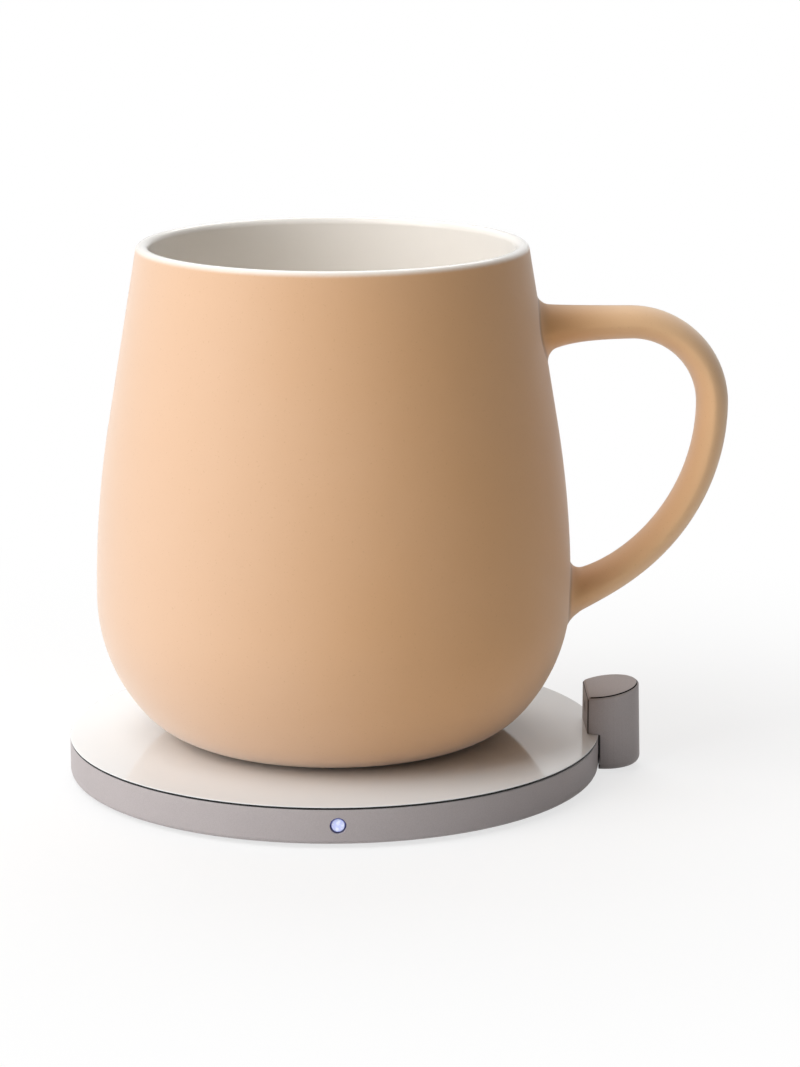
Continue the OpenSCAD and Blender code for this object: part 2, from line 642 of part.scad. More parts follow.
pad_housing();
bottom_cover();
foot_pad();
seam_gasket();
top_plate();
coil_carrier();
pad_ferrite();
pad_coil();
control_board();
driver_chip();
resonant_capacitors();
power_inductor();
plate_thermistor();
usb_socket();
usb_tongue();
switch_body();
status_led();
ribbon_connector();
cover_screws();
board_screws();
button_cap();
switch_plunger();
post_shell();
post_base();
sensor_board();
presence_sensor();
sensor_window();
sensor_ribbon();
post_screws();
mug_shell();
handle();
heat_spreader();
heater_film();
insulation_pad();
receiver_board();
receiver_chips();
thermal_fuse();
mug_thermistor();
receiver_ferrite();
receiver_coil();
mug_base();
base_seal();
mug_foot();
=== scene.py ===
"""Self-heating mug on its round warming pad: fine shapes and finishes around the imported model."""

import math

import bmesh
import bpy
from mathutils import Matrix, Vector


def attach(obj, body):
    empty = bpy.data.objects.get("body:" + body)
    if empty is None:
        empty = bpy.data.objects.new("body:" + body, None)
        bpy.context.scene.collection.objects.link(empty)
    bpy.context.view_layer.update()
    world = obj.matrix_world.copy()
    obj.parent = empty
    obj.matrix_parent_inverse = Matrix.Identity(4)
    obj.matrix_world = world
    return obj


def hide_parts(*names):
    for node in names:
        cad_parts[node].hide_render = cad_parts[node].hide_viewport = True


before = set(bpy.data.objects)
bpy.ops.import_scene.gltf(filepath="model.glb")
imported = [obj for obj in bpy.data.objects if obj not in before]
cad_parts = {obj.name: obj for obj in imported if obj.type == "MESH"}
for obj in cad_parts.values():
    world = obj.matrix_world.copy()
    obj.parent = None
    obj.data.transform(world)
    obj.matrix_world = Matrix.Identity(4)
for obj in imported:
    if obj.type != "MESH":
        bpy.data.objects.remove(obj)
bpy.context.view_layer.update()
scene = bpy.context.scene
scene.view_settings.view_transform = "Standard"

# Modelling: near points in millimetres, doubles in metres, cutters that go through a wall
MM = 0.001
QUARTER = math.pi / 2
ORIGIN = (0, 0, 0)
NEAR = 1e-4
DOUBLES = 2e-6
SHARP = math.radians(35)
HOLE_L = 8
HOLE_IN = 1

# Pad, heights above the table in millimetres
PAD_R = 50.8
PAD_STEPS = 256
BAND_IN = PAD_R - 2.8
BAND_FOOT = PAD_R - 1.3
BAND_ROUND = 0.9
BAND_EASE = 0.2
BAND_LEVELS = (2.6, 4.4, 5.8)
SEAM_R = PAD_R - 0.12
Z_BAND = 0.8
Z_FLOOR = Z_BAND + 1.4
Z_SEAM = 7.15
Z_PLATE = Z_SEAM + 0.35
Z_TOP = Z_PLATE + 0.35
Z_UNDER = Z_TOP - 1.6
PLATE_IN = BAND_IN - 0.3
PLATE_ROUND = 0.06
PLATE_RINGS = (PAD_R - 1, 45, 36, 24, 12, 0)
RIM_EASE = 0.03
# The dark seam shows between the band's edge and the plate's rim
Z_EDGE = Z_SEAM + 0.18
Z_RIM = Z_TOP - 0.12

# Underside of the pad, screw turns in degrees
COVER_R = BAND_IN + 1
COVER_STEPS = 192
COVER_PLAY = 0.15
COVER_EASE = 0.2
FOOT_R = PAD_R - 8
FOOT_T = 1.0
FOOT_EASE = 0.35
FOOT_EDGE = 0.08
SCREW_RING = BAND_IN - 2.2
SCREW_TURNS = (45, 135, 225, 315)
SCREW_TWIST = 20
SCREW_D = 2.0
SCREW_STEPS = 48
SCREW_PLAY = 0.08
SCREW_L = 2.2
SCREW_TIP = 0.2
SCREW_HOLE_L = 4
SINK_H = SCREW_D / 2 + 0.02
SINK_BELOW = 0.03
Z_HEAD = Z_BAND + 0.04
HEAD_EASE = 0.06
SLOT_W, SLOT_L, SLOT_T = 0.4, 1.7, 0.55
SLOT_BELOW = 0.5
SLOT_EASE = 0.05

# Button and power socket
Z_BUTTON = Z_SEAM - 2.8
BUTTON_R = 1.25
BUTTON_STEPS = 64
BUTTON_PLAY = 0.25
BUTTON_BACK = BAND_IN - 0.8
BUTTON_FRONT = PAD_R - 0.3
BUTTON_DOME = 0.18
FLANGE = 0.55
SOCKET_W, SOCKET_H, SOCKET_L = 8.94, 3.16, 7.3
SOCKET_SKIN = 0.3
SOCKET_PLAY = 0.3
SOCKET_EASE = 0.07
SOCKET_BACK = 1
Y_SOCKET = PAD_R - 0.6
Z_SOCKET = Z_FLOOR + 0.1 + SOCKET_H / 2
TONGUE_W, TONGUE_L, TONGUE_T = 6.7, 4.6, 0.7
TONGUE_EASE = 0.12
CONTACT_PITCH = 0.5

# Post beside the pad
POST_R = 7.0
POST_TOP_R = 6.65
POST_X = PAD_R + 1.2
POST_FACE = 3.7
POST_WALL = 1.2
POST_ROUND = 1.5
POST_CORNER = 0.3
POST_GAP = 0.1
FACE_X = POST_X - POST_FACE
Z_POST = Z_BAND + 15.05
Z_CUT = Z_TOP + 0.05
SLOPE = math.tan(math.radians(9.2))
SLOPE_TURN = math.radians(19)
SLOPE_ROUNDS = 4
Z_ROOF = Z_POST - POST_TOP_R * SLOPE - POST_WALL
CUTTER_L = 20
CUTTER_STEPS = 512
ROOM_STEPS = 96
# Columns round the post, rings up its side, and its top edge as inset and drop
FLAT_COLUMNS = 10
CORNER_COLUMNS = 6
ROUND_COLUMNS = 100
POST_COLUMNS = FLAT_COLUMNS + ROUND_COLUMNS + 2 * CORNER_COLUMNS
POST_LEVELS = (3.7, 5.1, 6.5, Z_TOP - 0.05, Z_TOP + 0.12)
POST_EDGE = ((0, 0.50), (0.05, 0.42), (0.20, 0.26), (0.25, 0.21), (0.41, 0.05), (0.44, 0.02),
             (0.50, 0))
FOOT_RING = 6
LEVEL_RING = FOOT_RING + len(POST_LEVELS)
UPPER_RINGS = 4
EDGE_RING = LEVEL_RING + UPPER_RINGS
POST_RINGS = EDGE_RING + len(POST_EDGE)
# Painted shade in the gap beside the band, and a dark line painted below the post's top
Z_GAP = Z_TOP + 0.06
GAP_W = 0.3
LINE_HIGH, LINE_LOW = 0.04, 0.24
LINE_INSET = (0.24, 0.42)
LINE_FLAT = (0.04, 0.17)
LINE_START = 0.6
# Sensor window
Z_WINDOW = Z_TOP + 3.9
WINDOW_R = 1.2
WINDOW_T = 1.1
WINDOW_DOME = 0.2
WINDOW_PLAY = 0.03
WINDOW_BACK = 1.4
WINDOW_STEPS = 48

# Mug, heights above the plate
MUG_H = 94.2
MUG_STEPS = 192
BELLY_R = 45.15
WALL = 3.8
LIP_T = 2.4
UPPER_R = 198.0
LEAN = math.radians(9.6)
HEEL_R = 32.4
TOE_R = 17.5
TOE_START = ((0.6, 0), (0.2, 0.06))
HEEL = math.radians(40.6)
Z_INSIDE = 12.0
FLOOR_ROUND = 6.0
BELLY_Z = HEEL_R * math.sin(HEEL) + TOE_R * (1 - math.sin(HEEL))
HEEL_X = BELLY_R - HEEL_R
TOE_X = HEEL_X + (HEEL_R - TOE_R) * math.cos(HEEL)
LIP_R = LIP_T / 2
LIP_Z = MUG_H - LIP_R
JOIN_R = BELLY_R - UPPER_R * (1 - math.cos(LEAN))
JOIN_Z = BELLY_Z + UPPER_R * math.sin(LEAN)
LIP_X = (JOIN_R - (LIP_Z + LIP_R * math.sin(LEAN) - JOIN_Z) * math.tan(LEAN)
         - LIP_R * math.cos(LEAN))
TAPER = math.atan((WALL - LIP_T) * math.cos(LEAN) / (LIP_Z - JOIN_Z))
# White glaze: thin on the lip's outer side, where it starts just under the lip's middle
GLAZE_BELOW = 0.1
GLAZE_THIN = 0.85
LIP_ZONE = 1
INNER_DEPTH = 0.8 * LIP_R

# Underside of the mug, heights above the plate
FOOT_LIFT = 0.8
FOOT_BREAK = 0.3
RECESS_R = 25.0
RECESS_TOP = 8.0
BASE_STEPS = 128
BASE_R = RECESS_R - 0.15
BASE_T = 1.8
BASE_EASE = 0.1
SEAL_DEPTH = 1.0
SEAL_LOW, SEAL_HIGH = FOOT_LIFT + BASE_T / 2 - 0.45, FOOT_LIFT + BASE_T / 2 + 0.45
RING_IN, RING_OUT = RECESS_R - 6.2, RECESS_R - 1.2
RING_PLAY = 0.15
RING_ROUND = 0.3
RING_TOP = FOOT_LIFT + 0.3

# Handle
REACH = 71.7
HANDLE_TOP = 79.0
SHOULDER_R = 15.7
BOW_R = 38.6
HANDLE_T = 6.0
HANDLE_W = 11.0
RIDGE = 1.2
RIDGE_LEAST = 0.02
COLUMNS = 72
ROOT_STEPS = 8
SHAFT_STEPS = 84
HANDLE_RINGS = 2 * ROOT_STEPS + SHAFT_STEPS + 3
# Roots: growth of the section and its fading length, and the round that runs out on the body
FLARE = 1.8
FLARE_FADE = 5
FLARE_LOWER = 0.65
FLARE_SIDE = 0.6
SAG_UPPER, SAG_LOWER = 0.8, 0.07
ROOT_ROUND = (2.0, 2.6)
ROOT_SKIN = 0.01
ROOT_SINK = 0.8
CREASE_W = 0.2
# Searches by halving: where the bow ends, in radians, and where a column meets the body
BOW_SEARCH = (0.5, 1.5)
BOW_HALVINGS = 40
UPPER_SEARCH = (-6.0, 14.0)
LOWER_SEARCH = (6.0, -20.0)
ROOT_HALVINGS = 36
LEAN_STEP = 0.01

# Tones of the glaze, as they are read off a screen
# Painted light and shade: the body's glaze runs from a paler tone on the left side, where the lamps
# fall, to a deeper tone on the shaded right side
PEACH_PAINTED_LIGHT = (225, 188, 157)
PEACH_PAINTED_SHADE = (219, 168, 116)
# Painted light: the handle is lighter than the body, as if more light fell on it
PEACH_HANDLE_PAINTED_LIGHT = (234, 191, 145)
# Painted shade in the crease round the handle's roots
PEACH_CREASE_SHADE = (140, 92, 60)
PEACH_SPECK = (176, 128, 88)
LINING_WARM, LINING_COOL = (252, 247, 240), (250, 244, 236)

# Camera, from the photograph's perspective, in metres and radians
CAMERA_AT = (-0.00642, -0.63582, 0.19346)
CAMERA_DIP = 0.2275
CAMERA_TURN = -0.0299
CAMERA_NEAR = 0.01
SENSOR = 36
FOCAL_PIXELS = 3427
FRAME_PIXELS = 1067

# Floor and light, in metres, degrees and watts
FLOOR_SIZE = 16
SHADOW_NEAR, SHADOW_FAR = 0.07, 0.20
SHADOW_WHITE = 0.72
LAMP_AIM = Vector((0, 0, 0.05))
LAMP_AWAY = 1.1
LAMP_SIZE = 0.8
LAMPS = (("key_left", 58, 26, 6.85), ("key_high", 60, 58, 6.1), ("back_high", 180, 50, 5.5))
SKY_FILL = 0.12

bpy.ops.object.camera_add(location=CAMERA_AT, rotation=(QUARTER - CAMERA_DIP, 0, CAMERA_TURN))
camera = bpy.context.object
camera.data.sensor_width = SENSOR
camera.data.lens = FOCAL_PIXELS * SENSOR / FRAME_PIXELS
camera.data.clip_start = CAMERA_NEAR
scene.camera = camera


# Modelling helpers

def edit():
    bpy.ops.object.mode_set(mode="EDIT")


def done():
    bpy.ops.object.mode_set(mode="OBJECT")


def alone(piece):
    """Makes piece the only selected and the active object."""
    bpy.ops.object.select_all(action="DESELECT")
    piece.select_set(True)
    bpy.context.view_layer.objects.active = piece


def added(name):
    """What was just added, under its own name."""
    piece = bpy.context.object
    piece.name = name
    return piece


def pick(piece, test):
    """Selects, in edit mode, the vertices whose place, in millimetres, passes the test."""
    bpy.ops.mesh.select_mode(type="VERT")
    bpy.ops.mesh.select_all(action="DESELECT")
    mesh = bmesh.from_edit_mesh(piece.data)
    for v in mesh.verts:
        if test(v.co / MM):
            v.select_set(True)
    mesh.select_flush_mode()
    bmesh.update_edit_mesh(piece.data)


def smooth(piece, degrees=30):
    alone(piece)
    bpy.ops.object.shade_smooth_by_angle(angle=math.radians(degrees))


def arc(cx, cz, r, a, b, n):
    """Points of an arc from angle a to angle b, in radians, in n steps."""
    turns = [a + (b - a) * i / n for i in range(n + 1)]
    return [(cx + r * math.cos(t), cz + r * math.sin(t)) for t in turns]


def dome(radius, height, rise, n):
    """Points of a shallow dome's half section, from its rim to its crown, in n steps."""
    turns = [QUARTER * i / n for i in range(n + 1)]
    return [(radius * math.cos(t), height + rise * math.sin(t)) for t in turns]


def between(a, b, n):
    """The points that divide a straight line into n parts, without its ends."""
    return [(a[0] + (b[0] - a[0]) * i / n, a[1] + (b[1] - a[1]) * i / n) for i in range(1, n)]


def lathe(name, profile, steps, degrees=30):
    """Extrudes a point along a profile of radii and heights in millimetres, and spins it round Z."""
    points = [profile[0]]
    for p in profile[1:]:
        if math.dist(p, points[-1]) > NEAR:
            points.append(p)
    bpy.ops.object.select_all(action="DESELECT")
    bpy.ops.mesh.primitive_plane_add(size=MM)
    piece = added(name)
    edit()
    bpy.ops.mesh.select_mode(type="VERT")
    bpy.ops.mesh.select_all(action="SELECT")
    bpy.ops.mesh.merge(type="CENTER")
    bpy.ops.transform.translate(value=(points[0][0] * MM, 0, points[0][1] * MM))
    for (r0, z0), (r1, z1) in zip(points, points[1:]):
        step = ((r1 - r0) * MM, 0, (z1 - z0) * MM)
        bpy.ops.mesh.extrude_region_move(TRANSFORM_OT_translate={"value": step})
    bpy.ops.mesh.select_all(action="SELECT")
    bpy.ops.mesh.spin(steps=steps, angle=2 * math.pi, center=ORIGIN, axis=(0, 0, 1))
    bpy.ops.mesh.select_all(action="SELECT")
    bpy.ops.mesh.remove_doubles(threshold=DOUBLES)
    bpy.ops.mesh.normals_make_consistent(inside=False)
    done()
    smooth(piece, degrees)
    return piece


def drawn(name, columns, rings, place, degrees=30):
    """Extrudes a ring into a capped bar, and moves each point to where place(ring, column) is."""
    bpy.ops.object.select_all(action="DESELECT")
    bpy.ops.mesh.primitive_circle_add(vertices=columns, radius=MM)
    piece = added(name)
    edit()
    bpy.ops.mesh.select_mode(type="VERT")
    bpy.ops.mesh.select_all(action="SELECT")
    for _ in range(rings - 1):
        bpy.ops.mesh.extrude_region_move(TRANSFORM_OT_translate={"value": (0, 0, MM)})
    for end in (0, rings - 1):
        pick(piece, lambda m: round(m.z) == end)
        bpy.ops.mesh.edge_face_add()
    mesh = bmesh.from_edit_mesh(piece.data)
    for v in mesh.verts:
        column = round(math.atan2(v.co.y, v.co.x) / (2 * math.pi) * columns) % columns
        v.co = Vector(place(round(v.co.z / MM), column)) * MM
    bmesh.update_edit_mesh(piece.data)
    bpy.ops.mesh.select_all(action="SELECT")
    bpy.ops.mesh.normals_make_consistent(inside=False)
    if bmesh.from_edit_mesh(piece.data).calc_volume(signed=True) < 0:
        bpy.ops.mesh.flip_normals()
    done()
    smooth(piece, degrees)
    return piece


def settle(piece):
    """Puts the piece's place into its mesh."""
    alone(piece)
    bpy.ops.object.transform_apply(location=True, rotation=True, scale=True)
    return piece


def stand(piece, at, turn):
    """Turns a piece, in radians about each axis, and moves it to a place in millimetres."""
    piece.rotation_euler = turn
    piece.location = Vector(at) * MM
    return settle(piece)


def carve(piece, cutter):
    """Cuts one piece with another, and removes the cutter."""
    alone(piece)
    step = piece.modifiers.new("carve", "BOOLEAN")
    step.operation, step.solver, step.object = "DIFFERENCE", "EXACT", cutter
    bpy.ops.object.modifier_apply(modifier=step.name)
    bpy.data.objects.remove(cutter)


def bar(name, radius, length, at, turn=ORIGIN, sides=64, top=None):
    """A round or tapered bar, its middle at a place in millimetres."""
    top = radius if top is None else top
    bpy.ops.object.select_all(action="DESELECT")
    bpy.ops.mesh.primitive_cone_add(vertices=sides, radius1=radius * MM, radius2=top * MM,
                                    depth=length * MM)
    return stand(added(name), at, turn)


def stadium(name, width, height, length, at):
    """A bar of stadium section along Y: a round bar whose halves are moved apart."""
    piece = bar(name, height / 2, length, ORIGIN, (QUARTER, 0, 0))
    edit()
    for side in (-1, 1):
        pick(piece, lambda m: m.x * side > NEAR)
        bpy.ops.transform.translate(value=(side * (width - height) / 2 * MM, 0, 0))
    done()
    return stand(piece, at, ORIGIN)


def block(name, low, high):
    """A block between two corners in millimetres."""
    bpy.ops.object.select_all(action="DESELECT")
    bpy.ops.mesh.primitive_cube_add(size=1)
    piece = added(name)
    piece.scale = (Vector(high) - Vector(low)) * MM
    piece.location = (Vector(high) + Vector(low)) / 2 * MM
    return settle(piece)


def ease(piece, width):
    """Rounds every sharp edge."""
    alone(piece)
    step = piece.modifiers.new("ease", "BEVEL")
    step.width, step.segments = width * MM, 2
    step.limit_method, step.angle_limit = "ANGLE", SHARP
    bpy.ops.object.modifier_apply(modifier=step.name)
    smooth(piece)
    return piece


def copied(piece, name, turn):
    """A copy of the piece with a mesh of its own, turned round the pad's axis."""
    twin = piece.copy()
    twin.data = piece.data.copy()
    twin.name = name
    bpy.context.collection.objects.link(twin)
    twin.rotation_euler = (0, 0, turn)
    return settle(twin)


def joined(name, pieces):
    """One piece made of several."""
    alone(pieces[0])
    for piece in pieces:
        piece.select_set(True)
    bpy.ops.object.join()
    return added(name)


def mark(piece, name, measure):
    """Keeps a measure of each point, taken at its place in millimetres, for a finish to read."""
    values = piece.data.attributes.new(name, "FLOAT", "POINT")
    values.data.foreach_set("value", [measure(v.co / MM) for v in piece.data.vertices])


# Finishes

class Wire:
    """A shader socket that takes part in Python expressions."""

    def __init__(self, nodes, socket):
        self.nodes, self.socket = nodes, socket

    def _math(self, operation, a, b=0.0):
        return self.nodes.add("ShaderNodeMath", {"operation": operation}, {0: a, 1: b})

    def __add__(self, other):
        return self._math("ADD", self, other)

    __radd__ = __add__

    def __sub__(self, other):
        return self._math("SUBTRACT", self, other)

    def __rsub__(self, other):
        return self._math("SUBTRACT", other, self)

    def __mul__(self, other):
        return self._math("MULTIPLY", self, other)

    __rmul__ = __mul__

    def root(self):
        return self._math("SQRT", self)

    def sine(self):
        return self._math("SINE", self)

    def larger(self, other):
        return self._math("MAXIMUM", self, other)


class Nodes:
    """A tree of shader nodes, built up from expressions."""

    def __init__(self, tree):
        self.tree = tree

    def put(self, node, socket, value):
        """Gives a socket of a node its value or its link."""
        if isinstance(value, Wire):
            self.tree.links.new(value.socket, node.inputs[socket])
        else:
            node.inputs[socket].default_value = value

    def add(self, kind, settings=None, inputs=None, out=0):
        """Adds a node: its settings first, then the values or links of its sockets."""
        node = self.tree.nodes.new(kind)
        for key, value in (settings or {}).items():
            setattr(node, key, value)
        for key, value in (inputs or {}).items():
            self.put(node, key, value)
        return Wire(self, node.outputs[out])

    def ray(self, kind):
        """1 for a kind of ray, 0 for the others."""
        return self.add("ShaderNodeLightPath", out="Is %s Ray" % kind)


class Finish(Nodes):
    """A material with one Principled shader."""

    def __init__(self, name, **sockets):
        self.material = bpy.data.materials.new(name)
        self.material.use_nodes = True
        super().__init__(self.material.node_tree)
        self.shader = self.tree.nodes["Principled BSDF"]
        for socket, value in sockets.items():
            self.set(socket.replace("_", " "), value)

    def set(self, socket, value):
        self.put(self.shader, socket, value)

    def place(self):
        return self.add("ShaderNodeTexCoord", out="Object")

    def axes(self):
        """The three coordinates of a point of the piece, in metres."""
        split = self.add("ShaderNodeSeparateXYZ", None, {0: self.place()}).socket.node
        return [Wire(self, split.outputs[i]) for i in range(3)]

    def marked(self, name):
        """What mark kept under a name."""
        return self.add("ShaderNodeAttribute", {"attribute_name": name}, out="Fac")

    def noise(self, scale, detail=2.0, roughness=0.5):
        return self.add("ShaderNodeTexNoise", None, {
            "Vector": self.place(), "Scale": scale, "Detail": detail, "Roughness": roughness})

    def ramp(self, value, low, high):
        """Value brought to 0 at low and 1 at high, with soft ends."""
        return self.add("ShaderNodeMapRange", {"interpolation_type": "SMOOTHSTEP"}, {
            "Value": value, "From Min": low, "From Max": high})

    def blend(self, factor, a, b):
        """A colour between a and b."""
        inputs = {"Factor": factor, 6: a, 7: b}
        return self.add("ShaderNodeMix", {"data_type": "RGBA"}, inputs, out=2)

    def bump(self, height, distance, strength, normal=None):
        inputs = {"Height": height, "Distance": distance, "Strength": strength}
        if normal:
            inputs["Normal"] = normal
        return self.add("ShaderNodeBump", None, inputs)


def srgb(*tone):
    """A colour as it is read off a screen, from 0 to 255, in linear light."""
    linear = [((c / 255 + 0.055) / 1.055) ** 2.4 if c > 10 else c / 255 / 12.92 for c in tone]
    return (*linear, 1.0)


def grey(level):
    """A grey in linear light."""
    return (level, level, level, 1)


def glaze():
    """Matt peach glaze outside, white gloss glaze where the mark lining is 1."""
    f = Finish("peach_glaze", Specular_IOR_Level=0.08, Sheen_Weight=0.6, Sheen_Roughness=0.5)
    edge = f.noise(900, 3.0) - 0.5
    white = f.ramp(f.marked("lining") + edge * 0.1, 0.05, 0.95)
    x = f.axes()[0]
    cloud = f.noise(38, 3.0) - 0.5
    # Painted light and shade: paler towards the lit left side, deeper towards the shaded right side,
    # with a wobbly border
    tone_drift_and_painted_light = f.ramp(x + cloud * 0.02, -0.045, 0.040)
    speck = f.ramp(f.noise(2600, 2.0), 0.66, 0.72)
    peach = f.blend(tone_drift_and_painted_light, srgb(*PEACH_PAINTED_LIGHT), srgb(*PEACH_PAINTED_SHADE))
    # Painted light: the handle is made lighter than the body
    peach = f.blend(f.ramp(x, 0.040, 0.056), peach, srgb(*PEACH_HANDLE_PAINTED_LIGHT))
    # Painted shade: darker where the handle's roots run out on the body
    peach = f.blend(f.marked("crease_shade") * 0.45, peach, srgb(*PEACH_CREASE_SHADE))
    peach = f.blend(speck * 0.18, peach, srgb(*PEACH_SPECK))
    lined = f.blend(f.noise(60, 2.0), srgb(*LINING_WARM), srgb(*LINING_COOL))
    f.set("Base Color", f.blend(white, peach, lined))
    matt = 0.46 + f.noise(420, 3.0) * 0.12
    gloss = 0.12 + f.noise(300, 2.0) * 0.05
    f.set("Roughness", matt * (1 - white) + gloss * white)
    f.set("Coat Weight", white * 0.5)
    f.set("Coat Roughness", 0.06)
    grain = f.noise(1500, 4.0, 0.6) * (1 - white) + f.noise(110, 2.0) * white
    waves = f.bump(f.noise(45, 2.0), 0.00025, 0.12)
    f.set("Normal", f.bump(grain, 0.00003, 0.35, waves))
    return f.material


def plate_gloss():
    """White moulded gloss with faint waviness and a trace of dust."""
    f = Finish("plate_gloss", Specular_IOR_Level=0.25)
    f.set("Base Color", f.blend(f.noise(30, 2.0), srgb(237, 240, 241), srgb(241, 244, 246)))
    dust = f.ramp(f.noise(700, 4.0, 0.7), 0.55, 0.75)
    f.set("Roughness", 0.07 + dust * 0.03)
    f.set("Normal", f.bump(f.noise(90, 2.0), 0.00004, 0.25))
    return f.material


def blasted_metal():
    """Warm grey anodised aluminium with a fine blasted grain, painted dark where its mark is 1: shade
    in the gap beside the band, and a line below the post's top.
    """
    f = Finish("blasted_metal", Specular_IOR_Level=0.06)
    grain = f.noise(5200, 3.0, 0.6)
    tone_drift_and_painted_light = f.noise(55, 3.0)
    tone = f.blend(tone_drift_and_painted_light, srgb(181, 174, 174), srgb(189, 182, 182))
    tone = f.blend(f.ramp(grain, 0.35, 0.7) * 0.25, tone, srgb(152, 143, 142))
    # Painted shade in the gap beside the band, and a dark line below the post's top
    f.set("Base Color", f.blend(f.marked("gap_shade_and_top_line"), tone, srgb(16, 14, 14)))
    f.set("Roughness", 0.36 + grain * 0.14 + tone_drift_and_painted_light * 0.04)
    f.set("Normal", f.bump(grain, 0.00002, 0.30))
    return f.material


def plain(name, low, high, rough, scale=900.0, depth=0.00002, metal=0.0, strength=0.3):
    """A finish between two near tones, with a fine grain in tone, roughness and relief."""
    f = Finish(name, Metallic=metal)
    grain = f.noise(scale, 3.0, 0.6)
    f.set("Base Color", f.blend(grain, srgb(*low), srgb(*high)))
    f.set("Roughness", rough + (grain - 0.5) * 0.16)
    f.set("Normal", f.bump(grain, depth, strength))
    return f.material


def lit_button():
    """Milky cap lit unevenly from behind, bluer towards its rim."""
    f = Finish("lit_button", Roughness=0.3)
    x, _, z = f.axes()
    dz = z - Z_BUTTON * MM
    rim = f.ramp((x * x + dz * dz).root(), 0.86 * BUTTON_R * MM, BUTTON_R * MM)
    cloud = f.ramp(f.noise(1500, 2.0), 0.35, 0.65)
    milk = f.blend(cloud * 0.7, srgb(222, 229, 250), srgb(176, 187, 240))
    f.set("Base Color", f.blend(rim, milk, srgb(120, 128, 190)))
    f.set("Emission Color", f.blend(rim, milk, srgb(70, 78, 150)))
    f.set("Emission Strength", 0.35)
    f.set("Normal", f.bump(f.noise(2600, 2.0), 0.00001, 0.2))
    return f.material


def board_mask():
    """Green solder mask over faint copper runs."""
    f = Finish("board_mask", Roughness=0.35)
    runs = f.add("ShaderNodeTexBrick", {"offset": 0.5}, {
        "Vector": f.place(), "Scale": 260.0, "Mortar Size": 0.03}, out="Fac")
    f.set("Base Color", f.blend(runs, srgb(24, 92, 58), srgb(44, 122, 78)))
    f.set("Normal", f.bump(runs, 0.00003, 0.4))
    return f.material


def contact_rows():
    """Black moulded tongue with gold contacts side by side."""
    f = Finish("contact_rows", Roughness=0.35)
    x = f.axes()[0]
    gold = f.ramp((x * (2 * math.pi / (CONTACT_PITCH * MM))).sine(), 0.0, 0.3)
    f.set("Base Color", f.blend(gold, srgb(18, 18, 19), srgb(214, 172, 92)))
    f.set("Metallic", gold * 0.9)
    f.set("Normal", f.bump(gold, 0.00003, 0.4))
    return f.material


def wound_copper():
    """Enamelled strands that run along the winding."""
    f = Finish("wound_copper", Metallic=1.0)
    x, y, _ = f.axes()
    r = (x * x + y * y).root()
    strand = (r * 42000 + f.noise(300, 2.0) * 2.0).sine() * 0.5 + 0.5
    f.set("Base Color", f.blend(strand, srgb(150, 84, 44), srgb(214, 140, 88)))
    f.set("Roughness", 0.30 + strand * 0.12)
    f.set("Normal", f.bump(strand, 0.00005, 0.5))
    return f.material


GLAZE = glaze()
PLATE = plate_gloss()
METAL = blasted_metal()
BUTTON = lit_button()
SEAM = plain("seam_rubber", (6, 4, 3), (11, 9, 8), 0.8)
SILICONE = plain("foot_silicone", (44, 43, 44), (56, 55, 56), 0.7, 1600)
SHELL = plain("cover_plastic", (52, 51, 53), (64, 63, 65), 0.55, 2400, 0.00003)
WINDOW = plain("window_gloss", (12, 7, 9), (20, 10, 12), 0.12, 300, 0.000005)
STEEL = plain("plain_steel", (150, 150, 152), (186, 186, 188), 0.30, 1800, 0.00001, 1.0)
CHIP = plain("chip_body", (22, 22, 24), (34, 34, 36), 0.6, 2600)
FERRITE = plain("ferrite_body", (46, 46, 48), (62, 61, 62), 0.55, 1400)
TAN = plain("capacitor_body", (150, 118, 84), (172, 140, 102), 0.45, 1500)
AMBER = plain("amber_film", (176, 92, 22), (205, 120, 40), 0.35, 700)
FELT = plain("white_felt", (212, 210, 202), (240, 238, 232), 0.9, 3000, 0.0001, 0.0, 0.7)
CREAM = plain("cream_plastic", (214, 210, 198), (226, 223, 213), 0.45, 1200)
BASE = plain("base_plastic", (222, 219, 213), (232, 229, 224), 0.45, 2000, 0.00003)
SPREADER = plain("spreader_metal", (196, 197, 200), (214, 215, 218), 0.32, 1500, 0.00001, 1.0)
BOARD = board_mask()
CONTACTS = contact_rows()
COPPER = wound_copper()


def finish(piece, material, body, slot, *nodes):
    """Gives a new piece its material and its body, and hides the CAD nodes that it stands for; its
    slot is not used.
    """
    piece.data.materials.clear()
    piece.data.materials.append(material)
    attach(piece, body)
    if nodes:
        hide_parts(*nodes)


# Mug

def body_radius(z):
    """Outer radius of the mug at a height above the plate."""
    if z > JOIN_Z:
        return JOIN_R - (z - JOIN_Z) * math.tan(LEAN)
    if z > BELLY_Z:
        return BELLY_R - UPPER_R + math.sqrt(UPPER_R ** 2 - (z - BELLY_Z) ** 2)
    return HEEL_X + math.sqrt(HEEL_R ** 2 - (z - BELLY_Z) ** 2)


